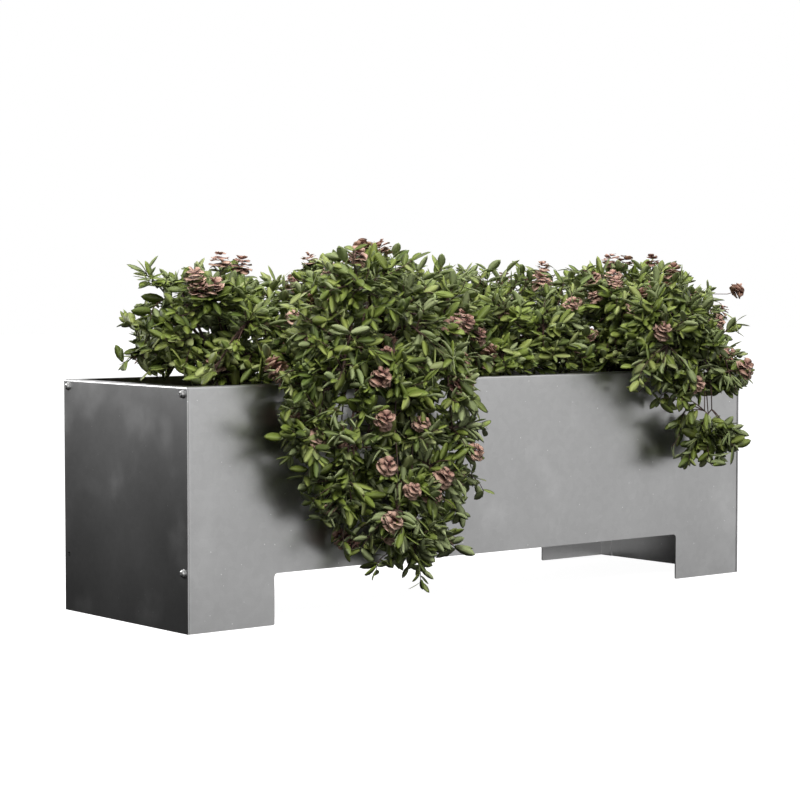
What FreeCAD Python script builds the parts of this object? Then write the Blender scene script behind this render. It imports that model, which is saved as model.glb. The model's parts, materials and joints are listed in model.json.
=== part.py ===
"""Free-standing street planter: a long box of folded steel sheet on four corner legs, filled and planted.

Frame: X runs along the box, Y from front (-) to back (+), +Z up. The origin is on the ground, under the
middle of the box. Units are millimetres. Every named piece goes to parts/ as one STEP file.
"""

import FreeCAD
import Part

import math
import os

Vec = FreeCAD.Vector

# ---------------------------------------------------------------- steelwork
length = 1500.0  # over the two end panels
depth = 440.0  # over the two long panels
height = 465.0  # ground to rim
sheet = 3.0  # steel sheet of every panel
bend_inner = 1.0  # inside radius of a fold
rim_width = 20.0  # the rim is folded inwards by this much
mitre_gap = 0.6  # open joint between two rims at a corner
leg_length = 200.0  # each leg, along a long panel
leg_height = 100.0  # ground to the cut-out between the legs
cutout_radius = 8.0  # upper corners of the cut-out
leg_tip_radius = 4.0  # lower corners of the legs
return_width = 36.0  # upright flange at each end of a long panel, behind the end panel
return_below_rim = 5.0  # top of that flange, under the rim

# floor plate, folded down on all four sides
floor_fold = 28.0  # height of the folded edge
floor_gap = 0.5  # floor plate and fillings to the steel around them
floor_relief = 1.0  # end of a long fold to the weld nuts behind the end fold
stiffener_width = 40.0
stiffener_sheet = 2.5
stiffener_lift = 4.0  # its underside over the edge of the floor's fold
stiffener_gap = 16.0  # each end to the floor's fold
stiffener_count = 3
stiffener_inset = 250.0  # outermost stiffener from the end of the box
drain_radius = 11.0  # one drain hole in every bay between the stiffeners

# M8 button head screws on washers, through the end panels, into weld nuts
screw_edge = 15.0  # from the box's upright edge
screw_below_rim = 14.0
screw_over_cutout = 14.0
screw_radius = 4.0
screw_length = 20.0
washer_radius = 8.0
washer_bore = 4.2
washer_height = 1.6
head_radius = 7.0
head_top_radius = 3.9
head_height = 4.4
head_edge = 0.5  # upright rim of the head under its dome
head_bulge = 0.55  # how far the dome stands out of a plain cone, both ways
socket_flats = 5.0
socket_depth = 2.6
hole_clearance = 0.5  # radial, round every screw and stud
thread_clearance = 0.1  # radial, screw or stud in its nut
weld_nut_flats = 13.0
weld_nut_height = 6.5

# weld studs on the long panels: for the floor plate and for the cross ties
floor_stud_radius = 3.0
floor_stud_length = 14.0
floor_stud_inset = 130.0  # outermost stud from the end of the box
floor_stud_over_cutout = 12.0
floor_stud_count = 4
floor_nut_flats = 10.0
floor_nut_height = 5.0
tie_stud_radius = 4.0
tie_stud_length = 16.0
tie_nut_flats = 13.0
tie_nut_height = 6.5
tie_below_rim = 150.0  # rim to the tie's studs
tie_width = 40.0
tie_sheet = 4.0
tie_fold = 34.0
tie_bend_inner = 2.0
tie_spacing = 500.0

# fillings, from the floor up
gravel_depth = 40.0
soil_below_rim = 33.0
filling_gap = 1.0  # round ties, nuts and strainers

# plastic strainers in the drain holes
strainer_clearance = 0.2
strainer_wall = 2.5
strainer_flange_width = 11.0
strainer_flange = 2.0
strainer_cap_radius = 15.0
strainer_cap_height = 12.0
strainer_slots = 6
strainer_slot_width = 3.0
strainer_sleeve_drop = 8.0  # below the floor sheet

# ---------------------------------------------------------------- planting
# Each shrub has a crown over the box, and may have a fall of shoots down the front. Both are lobes: a centre
# and three half sizes. The centre's X is a share of half the length, its Y is from the middle (or, for a
# fall, from the front panel) and its Z is from the rim. A crown keeps to the shrub's reach along X, which is
# in shares too. The lower end of a fall leans towards +X, by an angle in degrees.
plant_gap = 4.0  # foliage to the next shrub's, to the rim, to the front panel and crown to fall
stem_foot_radius = 40.0
stem_top_radius = 80.0
shrubs = {
    "left": {
        "reach": (-1.1, -0.5),
        "crown": ((-0.67, 0.0, 62.0), (230.0, 200.0, 170.0)),
    },
    "trailing": {
        "reach": (-0.5, 0.025),
        "crown": ((-0.25, -35.0, 62.0), (300.0, 235.0, 187.0)),
        "fall": ((-0.45, -70.0, -60.0), (252.0, 70.0, 328.0)),
        "lean": 9.0,
    },
    "middle": {
        "reach": (0.025, 0.515),
        "crown": ((0.26, 0.0, 62.0), (300.0, 205.0, 172.0)),
    },
    "right": {
        "reach": (0.515, 1.2),
        "crown": ((0.71, -35.0, 62.0), (275.0, 235.0, 174.0)),
        "fall": ((0.68, -70.0, 0.0), (150.0, 68.0, 235.0)),
        "lean": 35.0,
    },
}

# ---------------------------------------------------------------- worked out from the sizes above
half_length = length / 2
half_depth = depth / 2
inner_x = half_length - sheet  # inside of the end panels
inner_y = half_depth - sheet  # inside of the long panels
return_x = inner_x - sheet  # inside of the return flanges
bend_outer = bend_inner + sheet
floor_x = return_x - floor_gap  # outside of the floor's folds, and ends of the fillings
floor_y = inner_y - floor_gap
floor_top = leg_height + floor_fold
floor_under = floor_top - sheet
gravel_top = floor_top + gravel_depth
soil_top = height - soil_below_rim
screw_y = half_depth - screw_edge
low_screw_z = leg_height + screw_over_cutout
top_screw_z = height - screw_below_rim
floor_stud_z = leg_height + floor_stud_over_cutout
tie_z = height - tie_below_rim
tie_top = tie_z + tie_fold / 2
tie_bottom = tie_z - tie_fold / 2
strainer_top = floor_top + strainer_flange + strainer_cap_height
crown_floor = height + plant_gap
fall_back = -(half_depth + plant_gap)


def box(x0, x1, y0, y1, z0, z1):
    """Box between two corners, given in any order."""
    low = Vec(min(x0, x1), min(y0, y1), min(z0, z1))
    return Part.makeBox(abs(x1 - x0), abs(y1 - y0), abs(z1 - z0), low)


def rod(radius, start, direction, reach):
    return Part.makeCylinder(radius, reach, Vec(*start), Vec(*direction))


def prism(points, direction):
    """Closed polygon pushed along a direction."""
    corners = [Vec(*p) for p in points]
    return Part.Face(Part.makePolygon(corners + corners[:1])).extrude(Vec(*direction))


def fused(shapes):
    return shapes[0].fuse(shapes[1:]).removeSplitter()


def rounded(shape, radius, points):
    """Round each edge that runs through one of the points."""
    probes = [Part.Vertex(Vec(*p)) for p in points]
    edges = [e for e in shape.Edges if any(e.distToShape(p)[0] < 1e-4 for p in probes)]
    return shape.makeFillet(radius, edges)


def mirrored(shape, normal):
    return shape.mirror(Vec(0, 0, 0), Vec(*normal))


def spread(count, reach):
    """Evenly spaced places from -reach to reach."""
    return [reach * (2 * i / (count - 1) - 1) for i in range(count)]


def hex_bar(flats, reach):
    """Hexagonal bar along +Z from the origin, with two flats facing along Y."""
    corner = flats / math.sqrt(3)
    turns = [math.radians(60 * i) for i in range(6)]
    return prism([(corner * math.cos(t), corner * math.sin(t), 0) for t in turns], (0, 0, reach))


def placed(shape, start, direction):
    """Shape built along +Z from the origin, moved to a start and turned along a direction."""
    moved = shape.copy()
    moved.Placement = FreeCAD.Placement(Vec(*start), FreeCAD.Rotation(Vec(0, 0, 1), Vec(*direction)))
    return moved


def nut(flats, thickness, bolt_radius):
    """Hexagon nut along +Z from the origin."""
    bore = rod(bolt_radius + thread_clearance, (0, 0, 0), (0, 0, 1), thickness)
    return hex_bar(flats, thickness).cut(bore)


def screw_places(end):
    """Where the four screws of one end panel meet its face, the lower rear one first."""
    return [(end * half_length, y, z) for y in (screw_y, -screw_y) for z in (low_screw_z, top_screw_z)]


def tie_places():
    return [-tie_spacing / 2, tie_spacing / 2]


def floor_stud_places():
    return spread(floor_stud_count, half_length - floor_stud_inset)


def stiffener_places():
    return spread(stiffener_count, half_length - stiffener_inset)


def drain_places():
    """Middles of the bays that the stiffeners divide the floor into."""
    edges = [-floor_x] + stiffener_places() + [floor_x]
    return [(low + high) / 2 for low, high in zip(edges, edges[1:])]


def screw_holes(end):
    """Cutters for the screw holes through an end panel, a return flange and the floor's fold."""
    reach = half_length - floor_x + 2 * sheet
    hole = screw_radius + hole_clearance
    return [rod(hole, p, (-end, 0, 0), reach) for p in screw_places(end)]


def mitre(panel_runs_along_x):
    """What the corner mitres take off a rim: half of each corner and half of the gap between two rims."""
    half_gap = mitre_gap / math.sqrt(2)
    reach = rim_width + mitre_gap
    shift = (-half_gap, 0) if panel_runs_along_x else (0, -half_gap)
    x, y = half_length + shift[0], half_depth + shift[1]
    outside = (x + reach, y - reach) if panel_runs_along_x else (x - reach, y + reach)
    corners = [(x + reach, y + reach), (x - reach, y - reach), outside]
    one = prism([(px, py, height - bend_outer) for px, py in corners], (0, 0, bend_outer))
    pair = [one, mirrored(one, (1, 0, 0))]
    return pair + [mirrored(s, (0, 1, 0)) for s in pair]


def front_rim():
    """Rim of the front panel: a quarter bend and a flat, turned inwards, with mitred ends."""
    low = height - bend_outer
    centre_y = bend_outer - half_depth
    start = (-half_length, centre_y, low)
    tube = rod(bend_outer, start, (1, 0, 0), length).cut(rod(bend_inner, start, (1, 0, 0), length))
    bend = tube.common(box(-half_length, half_length, -half_depth, centre_y, low, height))
    flat = box(-half_length, half_length, centre_y, rim_width - half_depth, height - sheet, height)
    return bend.fuse(flat).cut(mitre(True))


def end_rim():
    """Rim of the right end panel, as the front panel's."""
    low = height - bend_outer
    centre_x = half_length - bend_outer
    start = (centre_x, -half_depth, low)
    tube = rod(bend_outer, start, (0, 1, 0), depth).cut(rod(bend_inner, start, (0, 1, 0), depth))
    bend = tube.common(box(centre_x, half_length, -half_depth, half_depth, low, height))
    flat = box(half_length - rim_width, centre_x, -half_depth, half_depth, height - sheet, height)
    return bend.fuse(flat).cut(mitre(False))


def front_panel():
    """Long panel: two legs with a cut-out between them, a return flange at each end and a folded rim."""
    low = height - bend_outer
    flange_y = return_width - half_depth
    cutout_x = half_length - leg_length
    parts = [box(-inner_x, inner_x, -half_depth, -inner_y, 0, low)]
    parts += [box(s * return_x, s * inner_x, -half_depth, flange_y, 0, low) for s in (-1, 1)]
    panel = fused(parts)
    panel = rounded(panel, bend_outer, [(s * inner_x, -half_depth, low / 2) for s in (-1, 1)])
    panel = rounded(panel, bend_inner, [(s * return_x, -inner_y, low / 2) for s in (-1, 1)])
    over_flanges = box(-inner_x, inner_x, bend_outer - half_depth, flange_y, height - return_below_rim, low)
    panel = panel.cut([over_flanges, box(-cutout_x, cutout_x, -half_depth, -inner_y, 0, leg_height)])
    middle_y = -half_depth + sheet / 2
    panel = rounded(panel, cutout_radius, [(s * cutout_x, middle_y, leg_height) for s in (-1, 1)])
    panel = rounded(panel, leg_tip_radius, [(s * cutout_x, middle_y, 0) for s in (-1, 1)])
    return fused([panel, front_rim()]).cut(screw_holes(-1) + screw_holes(1))


def right_end_panel():
    """End panel: a plain sheet down to the ground, with a folded rim and four screw holes."""
    face = box(inner_x, half_length, -half_depth, half_depth, 0, height - bend_outer)
    return fused([face, end_rim()]).cut(screw_holes(1))


def floor_edge(half_run, edge):
    """Edge of the floor plate, folded down, running along X: a quarter bend and a flat."""
    centre_y, centre_z = edge - bend_outer, floor_top - bend_outer
    start = (-half_run, centre_y, centre_z)
    run = 2 * half_run
    tube = rod(bend_outer, start, (1, 0, 0), run).cut(rod(bend_inner, start, (1, 0, 0), run))
    bend = tube.common(box(-half_run, half_run, centre_y, edge, centre_z, floor_top))
    return bend.fuse(box(-half_run, half_run, edge - sheet, edge, leg_height, centre_z))


def floor_plate():
    """Floor: a plate with four edges folded down, with drain holes, stud holes and screw holes. The end folds
    are as wide as the plate, and the long folds stop short of the weld nuts behind them."""
    long_run = floor_x - sheet - weld_nut_height - floor_relief
    flat_x, flat_y = floor_x - bend_outer, floor_y - bend_outer
    plate = box(-flat_x, flat_x, -flat_y, flat_y, floor_under, floor_top)
    corners = [box(s * long_run, s * flat_x, -floor_y, floor_y, floor_under, floor_top) for s in (-1, 1)]
    long_edge = floor_edge(long_run, floor_y)
    end_edge = floor_edge(floor_y, floor_x)
    end_edge.Placement = FreeCAD.Placement(Vec(0, 0, 0), FreeCAD.Rotation(Vec(0, 0, 1), 90))
    edges = [long_edge, mirrored(long_edge, (0, 1, 0)), end_edge, mirrored(end_edge, (1, 0, 0))]
    drains = [rod(drain_radius, (x, 0, floor_under), (0, 0, 1), sheet) for x in drain_places()]
    hole = floor_stud_radius + hole_clearance
    studs = [rod(hole, (x, -floor_y, floor_stud_z), (0, 1, 0), 2 * floor_y) for x in floor_stud_places()]
    return fused([plate] + corners + edges).cut(drains + studs + screw_holes(-1) + screw_holes(1))


def floor_stiffener(x):
    """Open channel under the floor plate, from front to back."""
    end = floor_y - sheet - stiffener_gap
    half_width = stiffener_width / 2
    low = leg_height + stiffener_lift
    channel = box(x - half_width, x + half_width, -end, end, low, floor_under)
    inside = half_width - stiffener_sheet
    return channel.cut(box(x - inside, x + inside, -end, end, low, floor_under - stiffener_sheet))


def button_screw():
    """Button head screw along +Z: the head's domed top is at -head_height, the shank goes from 0 upwards."""
    dome = Part.Arc(
        Vec(head_radius, 0, -head_edge),
        Vec((head_radius + head_top_radius) / 2 + head_bulge, 0, -(head_edge + head_height) / 2 - head_bulge),
        Vec(head_top_radius, 0, -head_height),
    ).toShape()
    outline = [
        Vec(head_top_radius, 0, -head_height),
        Vec(0, 0, -head_height),
        Vec(0, 0, screw_length),
        Vec(screw_radius, 0, screw_length),
        Vec(screw_radius, 0, 0),
        Vec(head_radius, 0, 0),
        Vec(head_radius, 0, -head_edge),
    ]
    section = Part.Face(Part.Wire(Part.sortEdges([dome] + Part.makePolygon(outline).Edges)[0]))
    screw = section.revolve(Vec(0, 0, 0), Vec(0, 0, 1), 360)
    socket = hex_bar(socket_flats, socket_depth)
    return screw.cut(placed(socket, (0, 0, -head_height), (0, 0, 1)))


def end_screws(end, places):
    """Screws whose heads stand on the washers."""
    return Part.makeCompound([
        placed(button_screw(), (x + end * washer_height, y, z), (-end, 0, 0)) for x, y, z in places
    ])


def end_washers(end, places):
    """Plain washers on the outside of an end panel."""
    washer = Part.makeCylinder(washer_radius, washer_height).cut(Part.makeCylinder(washer_bore, washer_height))
    return Part.makeCompound([placed(washer, p, (end, 0, 0)) for p in places])


def end_weld_nuts(end):
    """Nuts behind the screw holes: lower ones on the floor's fold, upper ones on the return flanges."""
    one = nut(weld_nut_flats, weld_nut_height, screw_radius)
    nuts = []
    for x, y, z in screw_places(end):
        seat = floor_x - sheet if z == low_screw_z else return_x
        nuts.append(placed(one, (end * seat, y, z), (-end, 0, 0)))
    return Part.makeCompound(nuts)


def side_row(make, places, start_y):
    """Copies of a fixing along both long panels, starting at a distance from the middle and pointing in."""
    copies = []
    for s in (-1, 1):
        copies += [placed(make, (x, s * start_y, z), (0, -s, 0)) for x, z in places]
    return Part.makeCompound(copies)


def floor_studs():
    stud = rod(floor_stud_radius, (0, 0, 0), (0, 0, 1), floor_stud_length)
    return side_row(stud, [(x, floor_stud_z) for x in floor_stud_places()], inner_y)


def floor_nuts():
    one = nut(floor_nut_flats, floor_nut_height, floor_stud_radius)
    return side_row(one, [(x, floor_stud_z) for x in floor_stud_places()], floor_y - sheet)


def tie_studs():
    stud = rod(tie_stud_radius, (0, 0, 0), (0, 0, 1), tie_stud_length)
    return side_row(stud, [(x, tie_z) for x in tie_places()], inner_y)


def tie_nuts():
    one = nut(tie_nut_flats, tie_nut_height, tie_stud_radius)
    return side_row(one, [(x, tie_z) for x in tie_places()], floor_y - tie_sheet)


def cross_tie(x):
    """Flat bar from the front panel to the back one, with its ends folded down against them."""
    half_width = tie_width / 2
    bar = box(x - half_width, x + half_width, -floor_y, floor_y, tie_bottom, tie_top)
    under = floor_y - tie_sheet
    bar = bar.cut(box(x - half_width, x + half_width, -under, under, tie_bottom, tie_top - tie_sheet))
    bar = rounded(bar, tie_bend_inner + tie_sheet, [(x, s * floor_y, tie_top) for s in (-1, 1)])
    bar = rounded(bar, tie_bend_inner, [(x, s * under, tie_top - tie_sheet) for s in (-1, 1)])
    hole = tie_stud_radius + hole_clearance
    return bar.cut(rod(hole, (x, -floor_y, tie_z), (0, 1, 0), 2 * floor_y))


def drain_strainer(x):
    """Plastic plug in a drain hole: a sleeve, a flange on the floor and a slotted cap."""
    sleeve = drain_radius - strainer_clearance
    low = floor_under - strainer_sleeve_drop
    up = (0, 0, 1)
    flange_top = floor_top + strainer_flange
    body = rod(sleeve, (x, 0, low), up, floor_top - low)
    body = body.fuse(rod(drain_radius + strainer_flange_width, (x, 0, floor_top), up, strainer_flange))
    body = body.fuse(rod(strainer_cap_radius, (x, 0, flange_top), up, strainer_cap_height))
    inside_top = strainer_top - strainer_wall
    body = body.cut(rod(sleeve - strainer_wall, (x, 0, low), up, inside_top - low))
    reach = 2 * strainer_cap_radius
    half = strainer_slot_width / 2
    slot = box(-reach, reach, -half, half, flange_top, inside_top)
    turns = [FreeCAD.Rotation(Vec(*up), 360 / strainer_slots * i) for i in range(strainer_slots // 2)]
    slots = [slot.copy() for turn in turns]
    for one, turn in zip(slots, turns):
        one.Placement = FreeCAD.Placement(Vec(x, 0, 0), turn)
    return body.cut(slots)


def gravel():
    """Drainage layer on the floor plate, hollowed round the strainers."""
    up = (0, 0, 1)
    flange = drain_radius + strainer_flange_width + filling_gap
    cap = strainer_cap_radius + filling_gap
    hollows = []
    for x in drain_places():
        hollows.append(rod(flange, (x, 0, floor_top), up, strainer_flange + filling_gap))
        hollows.append(rod(cap, (x, 0, floor_top), up, strainer_top + filling_gap - floor_top))
    return box(-floor_x, floor_x, -floor_y, floor_y, floor_top, gravel_top).cut(hollows)


def soil():
    """Planting soil over the gravel, hollowed round the cross ties and their fixings."""
    hollows = []
    half_width = tie_width / 2 + filling_gap
    stud_end = inner_y - tie_stud_length - filling_gap
    low, bar_low, high = tie_bottom - filling_gap, tie_top - tie_sheet - filling_gap, tie_top + filling_gap
    for x in tie_places():
        hollows.append(box(x - half_width, x + half_width, -floor_y, floor_y, bar_low, high))
        for s in (-1, 1):
            hollows.append(box(x - half_width, x + half_width, s * stud_end, s * floor_y, low, high))
    return box(-floor_x, floor_x, -floor_y, floor_y, gravel_top, soil_top).cut(hollows)


def lobe(centre, half_sizes, from_y, lean=0.0):
    """Ellipsoid with its centre at a share of half the length and at distances from a Y and from the rim. Its
    lower end leans towards +X."""
    share, y, z = centre
    stretch = FreeCAD.Matrix()
    stretch.scale(*half_sizes)
    stretch.rotateY(math.radians(-lean))
    stretch.move(Vec(share * half_length, from_y + y, height + z))
    return Part.makeSphere(1).transformGeometry(stretch)


def crown(shrub):
    """Outer shape of a shrub over the box: clear of the rim and of what hangs down the front."""
    low_x, high_x = [share * half_length for share in shrub["reach"]]
    keep_x = (low_x + plant_gap / 2, high_x - plant_gap / 2)
    keep = box(*keep_x, fall_back + plant_gap, depth, crown_floor, 2 * height)
    return lobe(*shrub["crown"], 0).common(keep)


def fall(shrub):
    """Outer shape of the shoots that hang down in front of the front panel."""
    in_front = box(-length, length, -depth, fall_back, 0, 2 * height)
    return lobe(*shrub["fall"], -half_depth, shrub["lean"]).common(in_front)


def stems(shrub):
    """Clump of woody stems, from the soil up to the underside of the crown."""
    share, y, z = shrub["crown"][0]
    foot = Vec(share * half_length, y, soil_top)
    return Part.makeCone(stem_foot_radius, stem_top_radius, crown_floor - soil_top, foot)


def nodes():
    """Every piece by name."""
    front = front_panel()
    right_end = right_end_panel()
    made = {
        "front_panel": front,
        "back_panel": mirrored(front, (0, 1, 0)),
        "left_end_panel": mirrored(right_end, (1, 0, 0)),
        "right_end_panel": right_end,
        "floor_plate": floor_plate(),
        "left_end_screws": end_screws(-1, screw_places(-1)[1:]),
        "right_end_screws": end_screws(1, screw_places(1)),
        "left_end_washers": end_washers(-1, screw_places(-1)[1:]),
        "right_end_washers": end_washers(1, screw_places(1)),
        "left_weld_nuts": end_weld_nuts(-1),
        "right_weld_nuts": end_weld_nuts(1),
        "floor_studs": floor_studs(),
        "floor_nuts": floor_nuts(),
        "tie_studs": tie_studs(),
        "tie_nuts": tie_nuts(),
        "gravel_layer": gravel(),
        "soil_block": soil(),
    }
    for i, x in enumerate(stiffener_places()):
        made[f"floor_stiffener_{i + 1}"] = floor_stiffener(x)
    for i, x in enumerate(tie_places()):
        made[f"cross_tie_{i + 1}"] = cross_tie(x)
    for i, x in enumerate(drain_places()):
        made[f"drain_strainer_{i + 1}"] = drain_strainer(x)
    for name, shrub in shrubs.items():
        made[f"{name}_shrub_crown"] = crown(shrub)
        made[f"{name}_shrub_stems"] = stems(shrub)
        if "fall" in shrub:
            made[f"{name}_shrub_fall"] = fall(shrub)
    return made


os.makedirs("parts", exist_ok=True)
for name, shape in nodes().items():
    shape.exportStep(f"parts/{name}.step")
    print(f"{name}: {len(shape.Solids)} solids, {shape.Volume / 1000:.1f} cm3, valid {shape.isValid()}")
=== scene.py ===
import json
import math

import bpy
import numpy as np
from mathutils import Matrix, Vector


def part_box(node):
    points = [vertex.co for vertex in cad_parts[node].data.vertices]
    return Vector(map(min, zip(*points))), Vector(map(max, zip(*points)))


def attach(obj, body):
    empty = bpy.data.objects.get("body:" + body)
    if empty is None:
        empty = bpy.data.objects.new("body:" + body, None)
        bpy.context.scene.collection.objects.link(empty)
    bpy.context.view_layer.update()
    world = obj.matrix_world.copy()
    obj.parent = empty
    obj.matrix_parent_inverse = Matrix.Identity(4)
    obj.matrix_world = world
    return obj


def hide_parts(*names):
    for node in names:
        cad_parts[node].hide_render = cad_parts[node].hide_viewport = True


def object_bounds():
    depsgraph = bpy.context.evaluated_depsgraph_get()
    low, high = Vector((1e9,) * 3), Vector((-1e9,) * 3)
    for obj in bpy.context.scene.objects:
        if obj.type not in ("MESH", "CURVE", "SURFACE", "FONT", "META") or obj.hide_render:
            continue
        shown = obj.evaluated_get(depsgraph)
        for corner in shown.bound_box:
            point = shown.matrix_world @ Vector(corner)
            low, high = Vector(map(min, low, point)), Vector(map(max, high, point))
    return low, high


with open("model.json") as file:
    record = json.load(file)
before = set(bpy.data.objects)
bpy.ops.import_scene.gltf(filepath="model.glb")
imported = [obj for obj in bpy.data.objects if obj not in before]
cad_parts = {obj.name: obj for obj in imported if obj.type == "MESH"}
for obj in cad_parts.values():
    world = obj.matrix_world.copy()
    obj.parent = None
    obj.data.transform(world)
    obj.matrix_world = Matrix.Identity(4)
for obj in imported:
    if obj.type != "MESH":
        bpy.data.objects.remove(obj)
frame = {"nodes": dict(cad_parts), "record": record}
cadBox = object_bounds()
rng = np.random.default_rng(41)
mm = 0.001

print("frame loaded:", len(frame["nodes"]), "nodes")


def unit(v):  # each row divided by its length
    return v / np.maximum(np.linalg.norm(v, axis=-1, keepdims=True), 1e-9)


def mixRows(a, b, share):  # rows of a moved towards rows of b by a share
    return a + (b - a) * np.asarray(share)[..., None]


def squareTo(v, axis):  # the part of v at right angles to axis, unit length
    return unit(v - axis * np.sum(v * axis, axis=-1, keepdims=True))


def boxOf(node):  # lowest and highest corner of a CAD node as arrays
    low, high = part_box(node)
    return np.array(low), np.array(high)


# swell: the mean of five sine waves with wavelengths near a size, each along its own random direction
def swell(points, size, draw):
    heading = unit(draw.normal(size=(5, 3)))
    pace = 2 * math.pi / (size * draw.uniform(0.7, 1.4, 5))
    start = draw.uniform(0, 2 * math.pi, 5)
    return np.sin(points @ heading.T * pace + start).mean(axis=-1)


# skinPoints: places spread evenly over a CAD node's surface, with the surface's outward direction there
def skinPoints(node, count, draw):
    mesh = frame["nodes"][node].data
    mesh.calc_loop_triangles()
    co = np.zeros(len(mesh.vertices) * 3)
    mesh.vertices.foreach_get("co", co)
    tri = np.zeros(len(mesh.loop_triangles) * 3, int)
    mesh.loop_triangles.foreach_get("vertices", tri)
    a, b, c = np.moveaxis(co.reshape(-1, 3)[tri.reshape(-1, 3)], 1, 0)
    out = np.cross(b - a, c - a)
    area = np.linalg.norm(out, axis=1)
    pick = draw.choice(len(area), count, p=area / area.sum())
    u, v = draw.random((2, count))
    over = u + v > 1
    u, v = np.where(over, 1 - u, u)[:, None], np.where(over, 1 - v, v)[:, None]
    return a[pick] + u * (b - a)[pick] + v * (c - a)[pick], unit(out[pick])


# makePiece: a smooth mesh from points and lists of faces, with its finish, riding on the body
def makePiece(name, points, faces, finish, slot, corners=None, faceTint=None):
    mesh = bpy.data.meshes.new(name)
    sizes = np.concatenate([np.full(len(f), f.shape[1]) for f in faces])
    order = np.concatenate([f.ravel() for f in faces])
    mesh.vertices.add(len(points))
    mesh.vertices.foreach_set("co", np.ascontiguousarray(points, dtype=np.float32).ravel())
    mesh.loops.add(len(order))
    mesh.loops.foreach_set("vertex_index", order.astype(np.int32))
    mesh.polygons.add(len(sizes))
    mesh.polygons.foreach_set("loop_start", np.concatenate(([0], np.cumsum(sizes)[:-1])).astype(np.int32))
    mesh.update(calc_edges=True)
    if corners is not None:
        layer = mesh.uv_layers.new(name="leafMap")
        layer.uv.foreach_set("vector", corners.astype(np.float32).ravel())
    if faceTint is not None:
        tint = mesh.attributes.new("tint", "FLOAT_VECTOR", "FACE")
        tint.data.foreach_set("vector", faceTint.astype(np.float32).ravel())
    mesh.polygons.foreach_set("use_smooth", np.full(len(sizes), True))
    mesh.materials.append(finish)
    piece = bpy.data.objects.new(name, mesh)
    bpy.context.scene.collection.objects.link(piece)
    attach(piece, "root")
    return piece


class Wire:  # a shader socket that takes part in Python sums
    def __init__(self, finish, socket):
        self.finish, self.socket = finish, socket

    def sum(self, operation, a, b):
        return self.finish.node("ShaderNodeMath", {"operation": operation}, {0: a, 1: b})

    def __add__(self, other): return self.sum("ADD", self, other)
    def __radd__(self, other): return self.sum("ADD", other, self)
    def __sub__(self, other): return self.sum("SUBTRACT", self, other)
    def __rsub__(self, other): return self.sum("SUBTRACT", other, self)
    def __mul__(self, other): return self.sum("MULTIPLY", self, other)
    def __rmul__(self, other): return self.sum("MULTIPLY", other, self)
    def __gt__(self, other): return self.sum("GREATER_THAN", self, other)
    def __lt__(self, other): return self.sum("LESS_THAN", self, other)
    def __abs__(self): return self.sum("ABSOLUTE", self, 0)


class Finish:  # one material, or the world, and its nodes
    def __init__(self, owner):
        owner.use_nodes = True
        self.owner, self.tree = owner, owner.node_tree
        self.tree.nodes.clear()

    # any node: its type, its settings, then the values or wires of its sockets
    def node(self, kind, settings=None, sockets=None, out=0):
        made = self.tree.nodes.new(kind)
        for key, value in (settings or {}).items():
            if key == "stops":
                ramp = made.color_ramp.elements
                while len(ramp) < len(value):
                    ramp.new(0.5)
                for stop, (place, colour) in zip(ramp, value):
                    stop.position, stop.color = place, (*colour, 1)
            else:
                setattr(made, key, value)
        for key, value in (sockets or {}).items():
            if isinstance(value, Wire):
                self.tree.links.new(value.socket, made.inputs[key])
            else:
                made.inputs[key].default_value = value
        return Wire(self, made.outputs[out]) if len(made.outputs) else None

    def place(self, scale=(1, 1, 1)):  # where on the object, in metres
        where = self.node("ShaderNodeTexCoord", out="Object")
        return self.node("ShaderNodeMapping", sockets={"Vector": where, "Scale": scale})

    def noise(self, scale, detail=4, rough=0.5, stretch=(1, 1, 1)):
        return self.node("ShaderNodeTexNoise", sockets={
            "Vector": self.place(stretch), "Scale": scale, "Detail": detail, "Roughness": rough})

    def cells(self, scale, out="Color"):
        return self.node("ShaderNodeTexVoronoi", sockets={"Vector": self.place(), "Scale": scale}, out=out)

    def ramp(self, value, stops):
        return self.node("ShaderNodeValToRGB", {"stops": stops}, {"Fac": value})

    def blend(self, share, a, b):  # colour a moved towards colour b by a share
        return self.node("ShaderNodeMix", {"data_type": "RGBA"}, {"Factor": share, 6: a, 7: b}, 2)

    def step(self, value, low, high):  # 0 below low, 1 above high
        return self.node("ShaderNodeMapRange", {"interpolation_type": "SMOOTHSTEP"},
                         {"Value": value, "From Min": low, "From Max": high})

    def split(self, value, count=3):  # the first parts of a vector, as values
        return [self.node("ShaderNodeSeparateXYZ", sockets={0: value}, out=i) for i in range(count)]

    def bump(self, height, strength, distance):
        return self.node("ShaderNodeBump", sockets={"Height": height, "Strength": strength, "Distance": distance})

    def surface(self, **sockets):
        named = {key.replace("_", " "): value for key, value in sockets.items()}
        shader = self.node("ShaderNodeBsdfPrincipled", sockets=named)
        self.node("ShaderNodeOutputMaterial", sockets={"Surface": shader})
        return self.owner


def newFinish(name):
    return Finish(bpy.data.materials.new(name))


# The steel's tone and roughness, and how far each pattern on it moves them
galvanised = {"tone": 0.56, "cloud": 0.17, "spangle": 0.028, "grain": 0.04, "drawn": 0.025, "stain": 0.08,
              "speck": 0.25, "roughness": 0.315, "cloudRoughness": 0.10, "stainRoughness": 0.07}


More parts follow.
